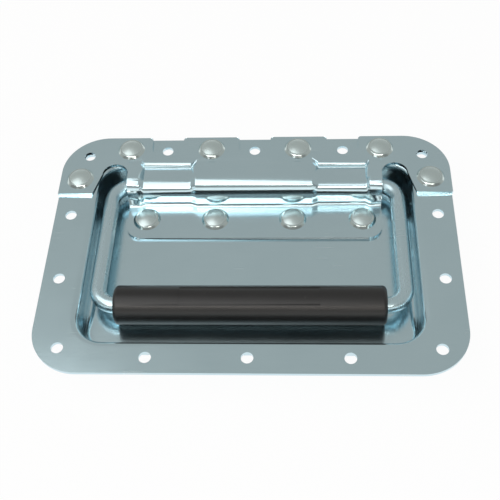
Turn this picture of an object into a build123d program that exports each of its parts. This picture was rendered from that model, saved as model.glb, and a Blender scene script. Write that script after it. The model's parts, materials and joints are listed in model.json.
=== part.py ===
from build123d import *
import os
from math import asin, cos, degrees, radians, sin, tan

# Recessed pull handle for cases and cabinets, in millimetres.
#
# A pressed dish is let into the case wall. Its flange lies on the wall, with +Z pointing out of the
# case and the flange's top surface at Z = 0. The origin is the centre of the mounting holes, +X runs
# along the grip and +Y towards the hinge. A sprung bail lies in the dish. Its rod ends turn under a
# pressed hinge cover, which is riveted to the flange behind the rod and to the dish floor before it.

os.makedirs("parts", exist_ok=True)

# ---------------------------------------------------------------- dish sizes

dish_sheet = 1.5
recess_length = 141.6  # between the side walls, at the flange
recess_width = 93.8
recess_depth = 13.2  # flange top to floor top
recess_corner = 12.0
wall_draft = 6.0  # degrees
rim_bend = 3.0  # top radius where the flange turns down
floor_bend = 3.0  # inner radius between wall and floor
flange_side = 17.2  # width of the flange beside the recess, along X
flange_end = 14.6  # along Y
plate_corner = 20.0

# mounting holes, placed from the recess's straight edges
hole_radius = 2.5
corner_hole_side = 5.7  # beyond the recess, along X
corner_hole_end = 3.5  # along Y
edge_hole_pitch = 81.2  # the pairs beside the middle of each long side
edge_hole_end = 7.7
side_hole_pitch = 34.0  # the pairs on each short side
side_hole_side = 10.1

# ---------------------------------------------------------------- bail sizes

rod_radius = 3.5
arm_inset = 6.0  # centre of each arm to the side wall
bail_reach = 65.3  # hinge axis to grip axis
elbow_bend = 8.5  # centreline radius at the hinge ends
handle_bend = 8.4  # centreline radius at the grip ends
rod_end_gap = 8.0  # between the two rod ends, at the middle of the cover
hinge_inset = 8.9  # hinge axis to the recess's edge
hinge_depth = 5.9  # below the flange's top
running_gap = 0.1  # rod to bearing, on the radius

grip_radius = 8.25
grip_end_gap = 0.05  # each end of the grip to the rod's bend
grip_round = 1.8
grip_squeeze = 0.05  # the sleeve's bore is this much smaller than the rod, on the radius
grip_floor_gap = 0.3
panel_length = 58.0  # bare moulded panel along the top of the grip
panel_half_angle = 32.0
panel_depth = 0.3

# torsion springs on the rod ends
wire_radius = 0.7
wire_sides = 8  # the round wire is drawn eight-sided, which keeps the coil light
coil_gap = 0.1  # coil to rod, on the radius
coil_pitch = 2.4
coil_rounds = 4  # whole turns before the outer leg
coil_inset = 2.5  # rod end to the middle of the first turn
foot_angle = 25.0  # the outer leg's slope down to the dish floor
foot_gap = 0.05  # foot to floor
slot_gap = 0.15  # inner leg to the slot that it crosses in the rod end

# ---------------------------------------------------------------- hinge cover sizes

cover_sheet = 1.5
cover_overhang = 0.3  # beyond the plate's edge
coil_room = 0.2  # coil to the hump's front wall
hump_rise = 0.2  # the hump's top above the strip on the flange
hump_back = 6.8  # hinge axis to the end of the hump's flat top
nose_run = 2.8  # the hump's nose: a slope between a tight bend above and a wide one below
nose_drop = 6.3
upper_nose_bend = 6.2
lower_nose_bend = 13.0
saddle_room = 0.5  # rod to the front wall, where the sheet is pressed down onto the rod
saddle_nose = 3.38  # along Y and Z alike
saddle_bend = 5.6
saddle_back = 6.6  # hinge axis to the foot of the step up to the strip
step_length = 0.7
step_toe = 0.15  # the last of the step is a little steeper
step_toe_rise = 0.6
step_foot_bend = 0.4
crest_bend = 2.0
valley_bend = 1.8
valley_drop = 0.3  # the shallow valley behind the hump
valley_behind = 0.3  # valley to the recess's edge
strip_bend = 2.0
strip_behind = 2.0  # edge of the recess to the strip's fold
flat_behind = 2.9  # edge of the recess to where the sheet is flat
tab_bend = 1.4  # where the front wall turns out onto the floor
tab_root = 1.8  # front wall to where the tab is flat
tab_length = 18.3
tab_corner = 6.5

# along X, from the arch in front of each arm inwards: collar, ramp, saddle, ramp, hump
arch_radius = 5.8
arch_inset = 1.2  # arch's centre to the arm's
collar_length = 5.2
outer_ramp = 2.0
saddle_length = 21.3
inner_ramp = 3.0

arch_behind = 1.6  # hinge axis to the arch's centre, along Y
ear_length = 9.8  # hinge axis to the front of the ears beside the recess
ear_toe = 3.2  # how much wider the arch is at the front of the ears
notch_width = 14.5  # round the mounting holes of the hinge side
notch_depth = 4.4  # below the holes' centres
notch_round = 5.5
notch_mouth = 1.5

# cradles pressed up from the dish floor, one under each saddle
cradle_length = 15.0
cradle_width = 8.0
cradle_corner = 2.5
cradle_draft = 12.0
cradle_lip = 2.8  # cradle's top to the hinge axis

# ---------------------------------------------------------------- rivet sizes

shank_radius = 2.4
shank_gap = 0.05
head_radius = 6.2
head_skirt = 1.1
skirt_width = 1.0
shoulder = 0.5  # flat ring between skirt and dome
head_height = 2.2
tail_radius = 4.2
tail_height = 1.4
tail_slope = 1.2
top_rivet_x = 20.0  # the inner pair
top_rivet_inset = 0.3  # the outer pair, from the collars' outer ends
top_rivet_end = 7.6  # beyond the recess, along Y
ear_rivet_side = 8.4
ear_rivet_ahead = 1.0  # ahead of the hinge axis
tab_rivet_x = 17.6
tab_rivet_inset = 8.8
tab_rivet_ahead = 7.8  # ahead of the hump's front wall

# ---------------------------------------------------------------- derived places

edge_x = recess_length / 2
edge_y = recess_width / 2
plate_length = recess_length + 2 * flange_side
plate_width = recess_width + 2 * flange_end
floor_z = -recess_depth

hinge_y = edge_y - hinge_inset
hinge_z = -hinge_depth
hinge_axis = (hinge_y, hinge_z)  # in the YZ plane
bearing_radius = rod_radius + running_gap
arm_x = edge_x - arm_inset
rod_end_x = rod_end_gap / 2
grip_z = floor_z + grip_floor_gap + grip_radius
bail_tilt = asin((grip_z - hinge_z) / bail_reach)
grip_y = hinge_y - bail_reach * cos(bail_tilt)
grip_half = arm_x - handle_bend - grip_end_gap
panel_top = 2 * grip_radius

coil_radius = rod_radius + coil_gap + wire_radius
coil_x = rod_end_x + coil_inset
coil_turns = coil_rounds + 0.5 - foot_angle / 360
foot_rest = floor_z + wire_radius + foot_gap
foot_drop = hinge_z - coil_radius * cos(radians(foot_angle)) - foot_rest
foot_length = foot_drop / sin(radians(foot_angle))
slot_depth = coil_inset + wire_radius + slot_gap

hump_front = hinge_y - coil_radius - wire_radius - coil_room - cover_sheet
hump_z = cover_sheet + hump_rise
saddle_front = hinge_y - bearing_radius - saddle_room - cover_sheet
saddle_z = hinge_z + bearing_radius + cover_sheet
tab_z = floor_z + cover_sheet
flat_y = edge_y + flat_behind
tab_root_y = hump_front - tab_root
tab_end_y = hump_front - tab_length
cover_half_length = plate_length / 2 + cover_overhang
cover_half_width = plate_width / 2 + cover_overhang
arch_x = arm_x - arch_inset
arch_y = hinge_y + arch_behind
arch_side = arch_x + arch_radius
ear_y = hinge_y - ear_length
collar_outer = arch_x - arch_radius
collar_inner = collar_outer - collar_length
saddle_outer = collar_inner - outer_ramp
saddle_inner = saddle_outer - saddle_length
hump_half = saddle_inner - inner_ramp

hole_y = edge_y + edge_hole_end
corner_hole_y = edge_y + corner_hole_end
corner_hole_x = edge_x + corner_hole_side
side_hole_x = edge_x + side_hole_side
notch_y = hole_y - notch_depth
notch_places = ((-edge_hole_pitch / 2, notch_y), (0, notch_y), (edge_hole_pitch / 2, notch_y))
cradle_top = hinge_z - cradle_lip
cradle_rise = cradle_top - floor_z
cradle_x = (saddle_inner + saddle_outer) / 2
cradle_places = ((-cradle_x, hinge_y), (cradle_x, hinge_y))

rivet_hole = shank_radius + shank_gap
dome_radius = head_radius - skirt_width - shoulder
dome_rise = head_height - head_skirt
dome_sphere = (dome_radius**2 + dome_rise**2) / (2 * dome_rise)
top_row = [
    (side * x, edge_y + top_rivet_end)
    for side in (-1, 1)
    for x in (top_rivet_x, collar_outer - top_rivet_inset)
]
ear_pair = [(side * (edge_x + ear_rivet_side), hinge_y - ear_rivet_ahead) for side in (-1, 1)]
tab_row = [
    (side * x, hump_front - tab_rivet_ahead)
    for side in (-1, 1)
    for x in (tab_rivet_x, collar_outer - tab_rivet_inset)
]

tiny = 0.01  # for picking edges and corners by position

# ---------------------------------------------------------------- dish


def rim_edges(height):
    """The closed run of edges round the recess at one height."""
    level = dish.edges().filter_by_position(Axis.Z, height - tiny, height + tiny)
    reach_x, reach_y = edge_x + 2 * dish_sheet, edge_y + 2 * dish_sheet
    across = level.filter_by_position(Axis.X, -reach_x, reach_x)
    return across.filter_by_position(Axis.Y, -reach_y, reach_y)


with BuildPart() as dish:
    with BuildSketch():
        RectangleRounded(plate_length, plate_width, plate_corner)
    extrude(amount=-dish_sheet)
    with BuildSketch():
        RectangleRounded(
            recess_length + 2 * dish_sheet, recess_width + 2 * dish_sheet, recess_corner + dish_sheet
        )
    extrude(amount=floor_z - dish_sheet, taper=wall_draft)
    with BuildSketch():
        RectangleRounded(recess_length, recess_width, recess_corner)
    extrude(amount=floor_z, taper=wall_draft, mode=Mode.SUBTRACT)
    fillet(rim_edges(0), rim_bend)
    fillet(rim_edges(floor_z), floor_bend)
    fillet(rim_edges(floor_z - dish_sheet), floor_bend + dish_sheet)
    fillet(rim_edges(-dish_sheet), rim_bend - dish_sheet)

    # the cradles, hollow underneath
    with BuildSketch(Plane.XY.offset(floor_z)):
        with Locations(*cradle_places):
            RectangleRounded(cradle_length, cradle_width, cradle_corner)
    extrude(amount=cradle_rise, taper=cradle_draft)
    with BuildSketch(Plane.XY.offset(floor_z - dish_sheet)):
        with Locations(*cradle_places):
            RectangleRounded(
                cradle_length - 2 * dish_sheet, cradle_width - 2 * dish_sheet, cradle_corner - dish_sheet
            )
    extrude(amount=cradle_rise, taper=cradle_draft, mode=Mode.SUBTRACT)

    # a round seat in each cradle, one sheet thick under the rod
    for x, _ in cradle_places:
        with BuildSketch(Plane.YZ.offset(x)):
            with Locations(hinge_axis):
                Circle(bearing_radius + dish_sheet)
            with Locations((hinge_y, cradle_top)):
                Rectangle(
                    2 * cradle_width, cradle_width, align=(Align.CENTER, Align.MIN), mode=Mode.SUBTRACT
                )
        extrude(amount=cradle_length / 2 - dish_sheet, both=True)
    with BuildSketch(Plane.YZ):
        with Locations(hinge_axis):
            Circle(bearing_radius)
    extrude(amount=saddle_outer, both=True, mode=Mode.SUBTRACT)

    with GridLocations(2 * corner_hole_x, 2 * corner_hole_y, 2, 2):
        Hole(hole_radius)
    with GridLocations(edge_hole_pitch, 2 * hole_y, 2, 2):
        Hole(hole_radius)
    with GridLocations(0, 2 * hole_y, 1, 2):
        Hole(hole_radius)
    with GridLocations(2 * side_hole_x, side_hole_pitch, 2, 2):
        Hole(hole_radius)
    with Locations(*top_row, *ear_pair, *tab_row):
        Hole(rivet_hole)

dish.part.label = "dish"
export_step(dish.part, "parts/dish.step")

# ---------------------------------------------------------------- hinge cover


def cover_section(x, points, radii):
    """The sheet cut across the hump at one X; the points run down its top surface, back to front."""
    with BuildSketch(Plane.YZ.offset(x)) as section:
        with BuildLine():
            FilletPolyline((flat_y, cover_sheet), *points, (tab_root_y, tab_z), radius=radii)
            offset(amount=cover_sheet, side=Side.LEFT)
        make_face()
    return section.sketch


def hump_section(x):
    points = (
        (edge_y + strip_behind, cover_sheet),
        (edge_y + valley_behind, cover_sheet - valley_drop),
        (hinge_y + hump_back, hump_z),
        (hump_front + nose_run, hump_z),
        (hump_front, hump_z - nose_drop),
        (hump_front, tab_z),
    )
    radii = (strip_bend, valley_bend, crest_bend, upper_nose_bend, lower_nose_bend, tab_bend)
    return cover_section(x, points, radii)


def saddle_section(x):
    foot_y = hinge_y + saddle_back
    points = (
        (foot_y + step_length, cover_sheet),
        (foot_y + step_toe, saddle_z + step_toe_rise),
        (foot_y, saddle_z),
        (saddle_front + saddle_nose, saddle_z),
        (saddle_front, saddle_z - saddle_nose),
        (saddle_front, tab_z),
    )
    radii = (strip_bend, valley_bend, step_foot_bend, saddle_bend, saddle_bend, tab_bend)
    return cover_section(x, points, radii)


with BuildPart() as hinge_cover:
    # hump, saddle and collar of one side, then the other side
    extrude(hump_section(0), amount=hump_half)
    loft([hump_section(hump_half), saddle_section(saddle_inner)])
    extrude(saddle_section(saddle_inner), amount=saddle_length)
    loft([saddle_section(saddle_outer), hump_section(collar_inner)])
    extrude(hump_section(collar_inner), amount=collar_length)
    mirror(about=Plane.YZ)

    # the flat sheet on the flange: a strip behind the hump, and an ear outside each arch
    with BuildSketch() as flat:
        RectangleRounded(2 * cover_half_length, 2 * cover_half_width, plate_corner + cover_overhang)
        with Locations((0, ear_y)):
            Rectangle(
                2 * plate_length, 2 * plate_width, align=(Align.CENTER, Align.MAX), mode=Mode.SUBTRACT
            )
        Rectangle(2 * collar_outer, 2 * flat_y, mode=Mode.SUBTRACT)
        with Locations((-arch_x, arch_y), (arch_x, arch_y)):
            Circle(arch_radius, mode=Mode.SUBTRACT)
        Polygon(
            (-arch_side, arch_y),
            (-arch_side - ear_toe, ear_y),
            (arch_side + ear_toe, ear_y),
            (arch_side, arch_y),
            align=None,
            mode=Mode.SUBTRACT,
        )
        with Locations(*notch_places):
            Rectangle(notch_width, plate_width, align=(Align.CENTER, Align.MIN), mode=Mode.SUBTRACT)
        notch_floors = flat.vertices().filter_by_position(Axis.Y, notch_y - tiny, notch_y + tiny)
        fillet(notch_floors, notch_round)
        back_corners = flat.vertices().group_by(Axis.Y)[-1].sort_by(Axis.X)
        fillet(back_corners[1:-1], notch_mouth)  # all but the ends of the strip's outer corners
    extrude(amount=cover_sheet)

    # the tab on the dish floor
    with BuildSketch(Plane.XY.offset(floor_z)) as tab:
        with Locations((0, tab_end_y)):
            Rectangle(2 * collar_outer, tab_root_y - tab_end_y, align=(Align.CENTER, Align.MIN))
        fillet(tab.vertices().group_by(Axis.Y)[0], tab_corner)
    extrude(amount=cover_sheet)

    with Locations(Plane.XY.offset(cover_sheet)):
        with Locations(*top_row, *ear_pair):
            Hole(rivet_hole, cover_sheet)
        with Locations((-corner_hole_x, corner_hole_y), (corner_hole_x, corner_hole_y)):
            Hole(hole_radius, cover_sheet)
    with Locations(Plane.XY.offset(tab_z)):
        with Locations(*tab_row):
            Hole(rivet_hole, cover_sheet)

hinge_cover.part.label = "hinge_cover"
export_step(hinge_cover.part, "parts/hinge_cover.step")

# ---------------------------------------------------------------- bail: rod and grip

bail_plane = Plane(origin=(0, *hinge_axis), x_dir=(1, 0, 0), z_dir=(0, sin(bail_tilt), cos(bail_tilt)))

with BuildPart() as bail_rod:
    with BuildLine(bail_plane) as centreline:
        FilletPolyline(
            (-rod_end_x, 0),
            (-arm_x, 0),
            (-arm_x, -bail_reach),
            (arm_x, -bail_reach),
            (arm_x, 0),
            (rod_end_x, 0),
            radius=(elbow_bend, handle_bend, handle_bend, elbow_bend),
        )
    with BuildSketch(Plane(origin=centreline.line @ 0, z_dir=centreline.line % 0)):
        Circle(rod_radius)
    sweep(path=centreline.line)
    # a slot across each rod end takes the spring's inner leg
    with BuildSketch(Plane.YZ):
        with Locations(hinge_axis):
            Rectangle(2 * (wire_radius + slot_gap), 3 * rod_radius)
    extrude(amount=rod_end_x + slot_depth, both=True, mode=Mode.SUBTRACT)

bail_rod.part.label = "bail_rod"
export_step(bail_rod.part, "parts/bail_rod.step")

with BuildPart() as grip:
    with BuildSketch(Plane.YZ):
        with Locations((grip_y, grip_z)):
            Circle(grip_radius)
    extrude(amount=grip_half, both=True)
    fillet(grip.edges().filter_by(GeomType.CIRCLE), grip_round)
    with BuildSketch(Plane.YZ):
        with Locations((grip_y, grip_z)):
            Circle(rod_radius - grip_squeeze)
    extrude(amount=grip_half, both=True, mode=Mode.SUBTRACT)
    # the bare panel, a shallow step all along the top
    with BuildSketch(Plane.YZ):
        with Locations((grip_y, grip_z)):
            Circle(panel_top)
            Circle(grip_radius - panel_depth, mode=Mode.SUBTRACT)
            Polygon(
                (0, 0),
                (panel_top * tan(radians(panel_half_angle)), panel_top),
                (-panel_top * tan(radians(panel_half_angle)), panel_top),
                align=None,
                mode=Mode.INTERSECT,
            )
    extrude(amount=panel_length / 2, both=True, mode=Mode.SUBTRACT)

grip.part.label = "grip"
export_step(grip.part, "parts/grip.step")

# ---------------------------------------------------------------- torsion springs

with BuildPart() as spring_right:
    with BuildLine() as coil:
        Helix(coil_pitch, coil_turns * coil_pitch, coil_radius, (coil_x, *hinge_axis), (1, 0, 0))
    with BuildSketch(Plane(origin=coil.line @ 0, z_dir=coil.line % 0)):
        RegularPolygon(wire_radius, wire_sides)
    sweep(path=coil.line, is_frenet=True)
    # the outer leg runs on from the coil's end down to the dish floor
    coil_end = spring_right.faces().sort_by_distance(coil.line @ 1)[0]
    extrude(coil_end, amount=foot_length)
    # the inner leg crosses the slot in the rod end
    with BuildSketch(Plane.XY.offset(hinge_z + coil_radius + wire_radius)):
        with Locations((coil_x, hinge_y)):
            RegularPolygon(wire_radius, wire_sides)
    extrude(amount=-(coil_radius + rod_radius))

spring_right.part.label = "spring_right"
export_step(spring_right.part, "parts/spring_right.step")

with BuildPart() as spring_left:
    mirror(spring_right.part, about=Plane.YZ)

spring_left.part.label = "spring_left"
export_step(spring_left.part, "parts/spring_left.step")

# ---------------------------------------------------------------- rivets


def make_rivet(x, y, head_seat, tail_seat):
    """A rivet with a skirted dome head above head_seat and a formed tail below tail_seat."""
    dome_z = head_seat + head_skirt
    dome_top = head_seat + head_height
    tail_end = tail_seat - tail_height
    with BuildPart() as rivet:
        with BuildSketch(Plane(origin=(x, y, 0), x_dir=(1, 0, 0), z_dir=(0, -1, 0))):
            with BuildLine():
                RadiusArc((0, dome_top), (dome_radius, dome_z), dome_sphere)
                Polyline(
                    (dome_radius, dome_z),
                    (dome_radius + shoulder, dome_z),
                    (head_radius, head_seat),
                    (shank_radius, head_seat),
                    (shank_radius, tail_seat),
                    (tail_radius, tail_seat),
                    (tail_radius - tail_slope, tail_end),
                    (0, tail_end),
                    (0, dome_top),
                )
            make_face()
        revolve(axis=Axis((x, y, 0), (0, 0, 1)))
    return rivet


rivets = [make_rivet(x, y, cover_sheet, -dish_sheet) for x, y in top_row + ear_pair]
rivets += [make_rivet(x, y, tab_z, floor_z - dish_sheet) for x, y in tab_row]

for number, rivet in enumerate(rivets, start=1):
    rivet.part.label = f"rivet_{number}"
    export_step(rivet.part, f"parts/rivet_{number}.step")
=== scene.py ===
import json
import math

import bpy
from mathutils import Matrix, Vector


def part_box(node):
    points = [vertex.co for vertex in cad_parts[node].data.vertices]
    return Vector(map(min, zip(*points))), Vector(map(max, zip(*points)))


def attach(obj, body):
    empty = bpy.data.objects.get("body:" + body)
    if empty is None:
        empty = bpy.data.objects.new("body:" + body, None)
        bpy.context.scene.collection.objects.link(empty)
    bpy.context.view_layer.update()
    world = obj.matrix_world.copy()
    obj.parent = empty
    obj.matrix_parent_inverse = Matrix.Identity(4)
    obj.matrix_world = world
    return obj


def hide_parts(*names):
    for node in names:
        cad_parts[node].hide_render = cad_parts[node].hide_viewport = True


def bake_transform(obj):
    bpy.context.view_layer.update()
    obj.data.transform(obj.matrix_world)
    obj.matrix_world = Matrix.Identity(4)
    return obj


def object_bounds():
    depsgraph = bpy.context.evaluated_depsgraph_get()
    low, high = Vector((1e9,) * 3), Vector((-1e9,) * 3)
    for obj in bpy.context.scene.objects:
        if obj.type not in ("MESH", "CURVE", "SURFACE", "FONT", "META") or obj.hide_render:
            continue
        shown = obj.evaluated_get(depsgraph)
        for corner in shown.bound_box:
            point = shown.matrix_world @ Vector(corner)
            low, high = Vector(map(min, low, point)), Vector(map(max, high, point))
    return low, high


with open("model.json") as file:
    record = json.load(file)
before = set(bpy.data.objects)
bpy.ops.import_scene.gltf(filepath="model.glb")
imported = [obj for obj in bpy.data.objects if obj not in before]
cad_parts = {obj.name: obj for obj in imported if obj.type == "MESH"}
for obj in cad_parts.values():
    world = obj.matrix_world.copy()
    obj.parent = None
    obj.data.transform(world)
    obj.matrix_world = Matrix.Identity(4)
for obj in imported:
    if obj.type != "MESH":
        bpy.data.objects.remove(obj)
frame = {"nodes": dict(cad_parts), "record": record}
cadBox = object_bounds()
print("stage: frame loaded")

scene = bpy.context.scene
scene.view_settings.view_transform = "Standard"


class Signal:  # a socket that takes part in Python sums
    def __init__(self, finish, socket):
        self.finish, self.socket = finish, socket

    def combine(self, operation, first, second):
        return self.finish.node("ShaderNodeMath", {"operation": operation}, {0: first, 1: second})

    def __add__(self, other):
        return self.combine("ADD", self, other)

    def __radd__(self, other):
        return self.combine("ADD", other, self)

    def __sub__(self, other):
        return self.combine("SUBTRACT", self, other)

    def __rsub__(self, other):
        return self.combine("SUBTRACT", other, self)

    def __mul__(self, other):
        return self.combine("MULTIPLY", self, other)

    def __rmul__(self, other):
        return self.combine("MULTIPLY", other, self)

    def __truediv__(self, other):
        return self.combine("DIVIDE", self, other)


class Finish:
    def __init__(self, block):
        block.use_nodes = True
        self.block, self.tree = block, block.node_tree

    def node(self, kind, settings, inputs, output=0):
        new = self.tree.nodes.new(kind)
        for key, value in settings.items():
            if key == "stops":
                for _ in range(len(value) - 2):
                    new.color_ramp.elements.new(0.5)
                for element, (place, color) in zip(new.color_ramp.elements, value):
                    element.position, element.color = place, color
            else:
                setattr(new, key, value)
        for key, value in inputs.items():
            if isinstance(value, Signal):
                self.tree.links.new(value.socket, new.inputs[key])
            else:
                new.inputs[key].default_value = value
        return Signal(self, new.outputs[output])

    def mix(self, factor, first, second):
        return self.node("ShaderNodeMix", {"data_type": "RGBA"}, {0: factor, 6: first, 7: second}, 2)

    def step(self, value, low, high):
        # 0 below low, 1 above high, smooth between
        settings = {"interpolation_type": "SMOOTHSTEP"}
        return self.node("ShaderNodeMapRange", settings, {0: value, 1: low, 2: high})

    def noise(self, place, scale, detail=3.0, roughness=0.5):
        inputs = {"Vector": place, "Scale": scale, "Detail": detail, "Roughness": roughness}
        return self.node("ShaderNodeTexNoise", {}, inputs)

    def stretch(self, place, scale, turn=0.0):
        return self.node("ShaderNodeMapping", {}, {"Vector": place, "Scale": scale, "Rotation": (0, 0, turn)})


def newFinish(name, constants):
    finish = Finish(bpy.data.materials.new(name))
    finish.shader = finish.tree.nodes["Principled BSDF"]
    for key, value in constants.items():
        finish.shader.inputs[key].default_value = value
    finish.place = finish.node("ShaderNodeTexCoord", {}, {}, "Object")
    return finish


def feed(finish, inputs):
    for key, value in inputs.items():
        finish.tree.links.new(value.socket, finish.shader.inputs[key])


handling = {
    "turns": (0.35, -1.1),
    "hairline": (9.0, 900.0, 9.0),
    "brightness": 0.25,
    "color": (0.86, 0.9, 0.9),
}


def zincFinish(name, look):
    finish = newFinish(name, {"Metallic": 1.0, "Specular Tint": (1.0, 1.0, 1.0, 1.0)})
    cloud = finish.noise(finish.place, 38.0, 3.0)
    fleck = finish.noise(finish.place, 900.0, 2.0, 0.6)
    drawn = finish.noise(finish.stretch(finish.place, look["grain"]), 60.0, 4.0, 0.6)
    # hairline handling marks, in two directions
    marks = []
    for turn in handling["turns"]:
        lines = finish.noise(finish.stretch(finish.place, handling["hairline"], turn), 3.0, 2.0)
        marks.append(finish.step(lines, 0.70, 0.74))
    scratch = (marks[0] + marks[1]) * finish.step(finish.noise(finish.place, 55.0), 0.5, 0.65)
    shade = cloud * 0.6 + drawn * 0.4
    color = finish.mix(shade, (*look["dark"], 1.0), (*look["pale"], 1.0))
    color = finish.mix(scratch * handling["brightness"], color, (*handling["color"], 1.0))
    roughness = look["roughness"] + (cloud - 0.5) * 0.08 + (drawn - 0.5) * 0.06 + scratch * 0.12
    if "domes" in look:
        # the set domes are duller than the skirts round them
        split = finish.node("ShaderNodeSeparateXYZ", {}, {0: finish.place})
        height = Signal(finish, split.socket.node.outputs["Z"])
        upper, lower = look["domes"]
        dome = finish.step(height, upper, upper + 0.0001)
        dome = dome + finish.step(height, lower, lower + 0.0001) * (1 - finish.step(height, -0.006, -0.003))
        roughness = roughness + dome * look["dullness"]
    height = fleck * 0.5 + drawn * 0.5 + scratch * 0.5
    bump = finish.node("ShaderNodeBump", {}, {"Height": height, "Strength": look["bump"], "Distance": 0.0004})
    feed(finish, {"Base Color": color, "Roughness": roughness, "Normal": bump})
    return finish.block


def rubberFinish(name, look):
    finish = newFinish(name, {"Specular IOR Level": 0.6})
    cloud = finish.noise(finish.place, 60.0, 3.0)
    grain = finish.noise(finish.place, 2600.0, 2.0, 0.6)
    dust = finish.step(finish.noise(finish.place, 420.0, 4.0, 0.7), 0.62, 0.8)
    color = finish.mix(cloud, (*look["dark"], 1.0), (*look["pale"], 1.0))
    color = finish.mix(dust * 0.15, color, (*look["dust"], 1.0))
    roughness = look["roughness"] + (cloud - 0.5) * 0.1 + dust * 0.1
    bump = finish.node("ShaderNodeBump", {}, {"Height": grain, "Strength": 0.12, "Distance": 0.0003})
    feed(finish, {"Base Color": color, "Roughness": roughness, "Normal": bump})
    return finish.block


dishLook = {
    "pale": (0.65, 0.815, 0.875),
    "dark": (0.575, 0.745, 0.81),
    "grain": (1.0, 14.0, 1.0),
    "roughness": 0.2,
    "bump": 0.05,
}
coverLook = {**dishLook, "roughness": 0.17}
rodLook = {**dishLook, "grain": (14.0, 1.0, 1.0), "roughness": 0.27}
rivetLook = {
    "pale": (0.70, 0.80, 0.80),
    "dark": (0.60, 0.71, 0.71),
    "grain": (1.0, 1.0, 1.0),
    "roughness": 0.15,
    "bump": 0.06,
    "domes": (0.00262, -0.01058),  # where the domes start, on the flange and on the tab
    "dullness": 0.22,
}
springLook = {**dishLook, "pale": (0.5, 0.52, 0.54), "dark": (0.36, 0.37, 0.39), "roughness": 0.3}
rubberLook = {
    "pale": (0.013, 0.0125, 0.0125),
    "dark": (0.007, 0.007, 0.0078),
    "dust": (0.16, 0.15, 0.14),
    "roughness": 0.36,
}

finishes = {
    "dish_zinc": zincFinish("dishZinc", dishLook),
    "cover_zinc": zincFinish("coverZinc", coverLook),
    "rod_zinc": zincFinish("rodZinc", rodLook),
    "rivet_zinc": zincFinish("rivetZinc", rivetLook),
    "spring_steel": zincFinish("springSteel", springLook),
    "grip_rubber": rubberFinish("gripRubber", rubberLook),
}
slotOf = {entry["node"]: entry["material_slot"] for entry in frame["record"]["subparts"]}
bodyOf = {node: body for body, nodes in frame["record"]["behaviour"]["bodies"].items() for node in nodes}
print("stage: finishes made")


def selectOnly(piece):
    bpy.ops.object.select_all(action="DESELECT")
    piece.select_set(True)
    bpy.context.view_layer.objects.active = piece


def smoothCopy(node, name, angle, edge=0.0, sharper=50):
    # a welded copy of a CAD node, smooth over its bends; edges sharper than that many degrees are broken
    piece = frame["nodes"][node].copy()
    piece.data = piece.data.copy()
    piece.name = name
    piece.parent = None
    for key in list(piece.keys()):
        del piece[key]
    scene.collection.objects.link(piece)
    selectOnly(piece)
    bpy.ops.object.mode_set(mode="EDIT")
    bpy.ops.mesh.select_all(action="SELECT")
    bpy.ops.mesh.remove_doubles(threshold=1e-6)
    bpy.ops.object.mode_set(mode="OBJECT")
    if edge:
        broken = piece.modifiers.new("brokenEdges", "BEVEL")
        broken.width, broken.segments = edge, 2
        broken.limit_method, broken.angle_limit = "ANGLE", math.radians(sharper)
        bpy.ops.object.modifier_apply(modifier="brokenEdges")
    bpy.ops.object.shade_smooth_by_angle(angle=math.radians(angle))
    piece.modifiers.new("evenFlats", "WEIGHTED_NORMAL").keep_sharp = True
    bpy.ops.object.modifier_apply(modifier="evenFlats")
    piece.data.materials.clear()
    piece.data.materials.append(finishes[slotOf[node]])
    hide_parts(node)
    return piece


edgeBreak = {"sheet": 0.00028, "cover": 0.00045, "rivet": 0.00022}
def rider(node, *look):
    # a smooth copy that moves with its node's own body
    piece = smoothCopy(node, *look)
    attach(piece, bodyOf[node])
    return piece


rider("dish", "pressedDish", 25, edgeBreak["sheet"])
rider("hinge_cover", "pressedCover", 50, edgeBreak["cover"])
rider("bail_rod", "bentRod", 30)
rider("grip", "rubberSleeve", 30)

# each spring is a welded copy baked in place, its leg in the rod's slot and its foot in the dish; the leg and
# foot ends are found from its box and spaced by legRoom, but nothing uses them to move the wire
springTwist = {"legRoom": 0.0016, "smooth": 50}
for side, outward in (("left", -1), ("right", 1)):
    wire = smoothCopy("spring_" + side, side + "Spring", springTwist["smooth"])
    legX, footX = sorted((corner[0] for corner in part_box("spring_" + side)), key=abs)
    legX += outward * springTwist["legRoom"]
    footX -= outward * springTwist["legRoom"]
    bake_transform(wire)
for number in range(1, 11):
    rider(f"rivet_{number}", f"rivetHead{number}", 22, edgeBreak["rivet"], 40)
print("stage: pieces made")


floorSettings = {"size": 6.0, "white": (0.92, 0.92, 0.92), "seenWhite": 0.95}
bpy.ops.object.select_all(action="DESELECT")
bpy.ops.mesh.primitive_plane_add(size=floorSettings["size"], location=(0, 0, cadBox[0][2]))
bpy.ops.object.transform_apply(location=True, rotation=True, scale=True)
floor = bpy.context.object
floor.name = "studioFloor"
floorFinish = newFinish("floorPaper", {"Base Color": (*floorSettings["white"], 1.0), "Roughness": 0.8})
path = floorFinish.node("ShaderNodeLightPath", {}, {}, "Is Camera Ray")
glossy = Signal(floorFinish, path.socket.node.outputs["Is Glossy Ray"])
through = Signal(floorFinish, path.socket.node.outputs["Is Transmission Ray"])
seen = (path + glossy + through) * floorSettings["seenWhite"]
glow = floorFinish.node("ShaderNodeEmission", {}, {"Color": (1.0, 1.0, 1.0, 1.0), "Strength": 1.0})
paper = Signal(floorFinish, floorFinish.shader.outputs[0])
surface = floorFinish.node("ShaderNodeMixShader", {}, {0: seen, 1: paper, 2: glow})
floorFinish.tree.links.new(surface.socket, floorFinish.tree.nodes["Material Output"].inputs["Surface"])
floor.data.materials.append(floorFinish.block)

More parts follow.
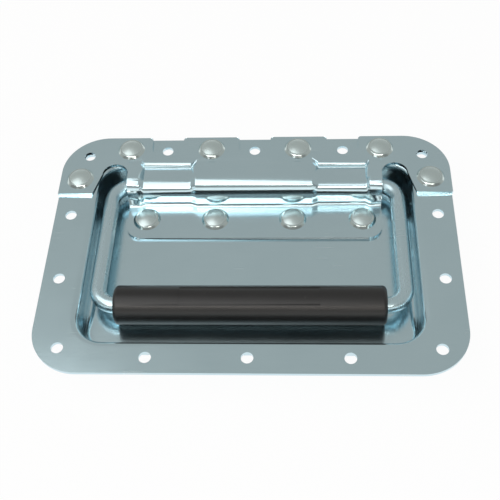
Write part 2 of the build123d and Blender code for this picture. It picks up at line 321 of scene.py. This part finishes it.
# the room round the handle: dim just ahead of overhead, bright from the front and along the horizon
room = {
    "color": (1.0, 1.0, 0.965),
    "level": 0.45,
    "dimming": 0.2,
    "dimFrom": (0.60, 0.80),
    "dimTo": (1.0, 1.25),
    "frontGain": 0.75,
    "frontFrom": (1.08, 1.32),
    "horizon": (0.03, 0.12),
}
world = Finish(bpy.data.worlds.new("studioWorld"))
scene.world = world.block
skyPlace = world.node("ShaderNodeTexCoord", {}, {}, "Generated")
split = world.node("ShaderNodeSeparateXYZ", {}, {0: skyPlace})
forward = 0 - Signal(world, split.socket.node.outputs["Y"])
upward = Signal(world, split.socket.node.outputs["Z"])
# tilt runs from overhead to the front
tilt = world.node("ShaderNodeMath", {"operation": "ARCTAN2"}, {0: forward, 1: upward})
dim = world.step(tilt, *room["dimFrom"]) * (1 - world.step(tilt, *room["dimTo"]))
front = world.step(tilt, *room["frontFrom"])
horizon = 1 - world.step(upward, *room["horizon"])
level = room["level"] - dim * room["dimming"] + front * room["frontGain"]
level = level + horizon * (1 - level)
background = world.tree.nodes["Background"]
background.inputs["Color"].default_value = (*room["color"], 1.0)
world.tree.links.new(level.socket, background.inputs["Strength"])


def softbox(name, place, target, size, radiance, tint=(1.0, 1.0, 1.0)):
    lamp = bpy.data.lights.new(name, "AREA")
    lamp.shape = "RECTANGLE"
    lamp.size, lamp.size_y = size
    lamp.energy = radiance * math.pi * size[0] * size[1]
    lamp.color = tint
    box = bpy.data.objects.new(name, lamp)
    scene.collection.objects.link(box)
    box.location = place
    box.rotation_euler = (Vector(target) - Vector(place)).to_track_quat("-Z", "Y").to_euler()
    return box


softbox("overheadBox", (-0.42, -0.21, 0.87), (0, 0.02, 0), (1.15, 0.86), 1.15)
softbox("warmStrip", (-0.1, -0.66, 0.76), (0, 0, 0), (1.2, 0.12), 5.0, (1.0, 0.92, 0.84))

cameraSettings = {
    "place": (0.02078, -0.2236, 0.30628),
    "turn": (-0.6262736, -0.0467437, -0.0312623),
    "lens": 63.746,
}
camera = bpy.data.cameras.new("camera")
camera.lens, camera.sensor_width = cameraSettings["lens"], 36.0
camera.clip_start = 0.01
view = bpy.data.objects.new("camera", camera)
scene.collection.objects.link(view)
aboutX, aboutY, aboutZ = cameraSettings["turn"]
turn = Matrix.Rotation(aboutX, 3, "X") @ Matrix.Rotation(aboutY, 3, "Y") @ Matrix.Rotation(aboutZ, 3, "Z")
view.matrix_world = Matrix.Translation(cameraSettings["place"]) @ turn.transposed().to_4x4()
scene.camera = view
print("stage: studio made")
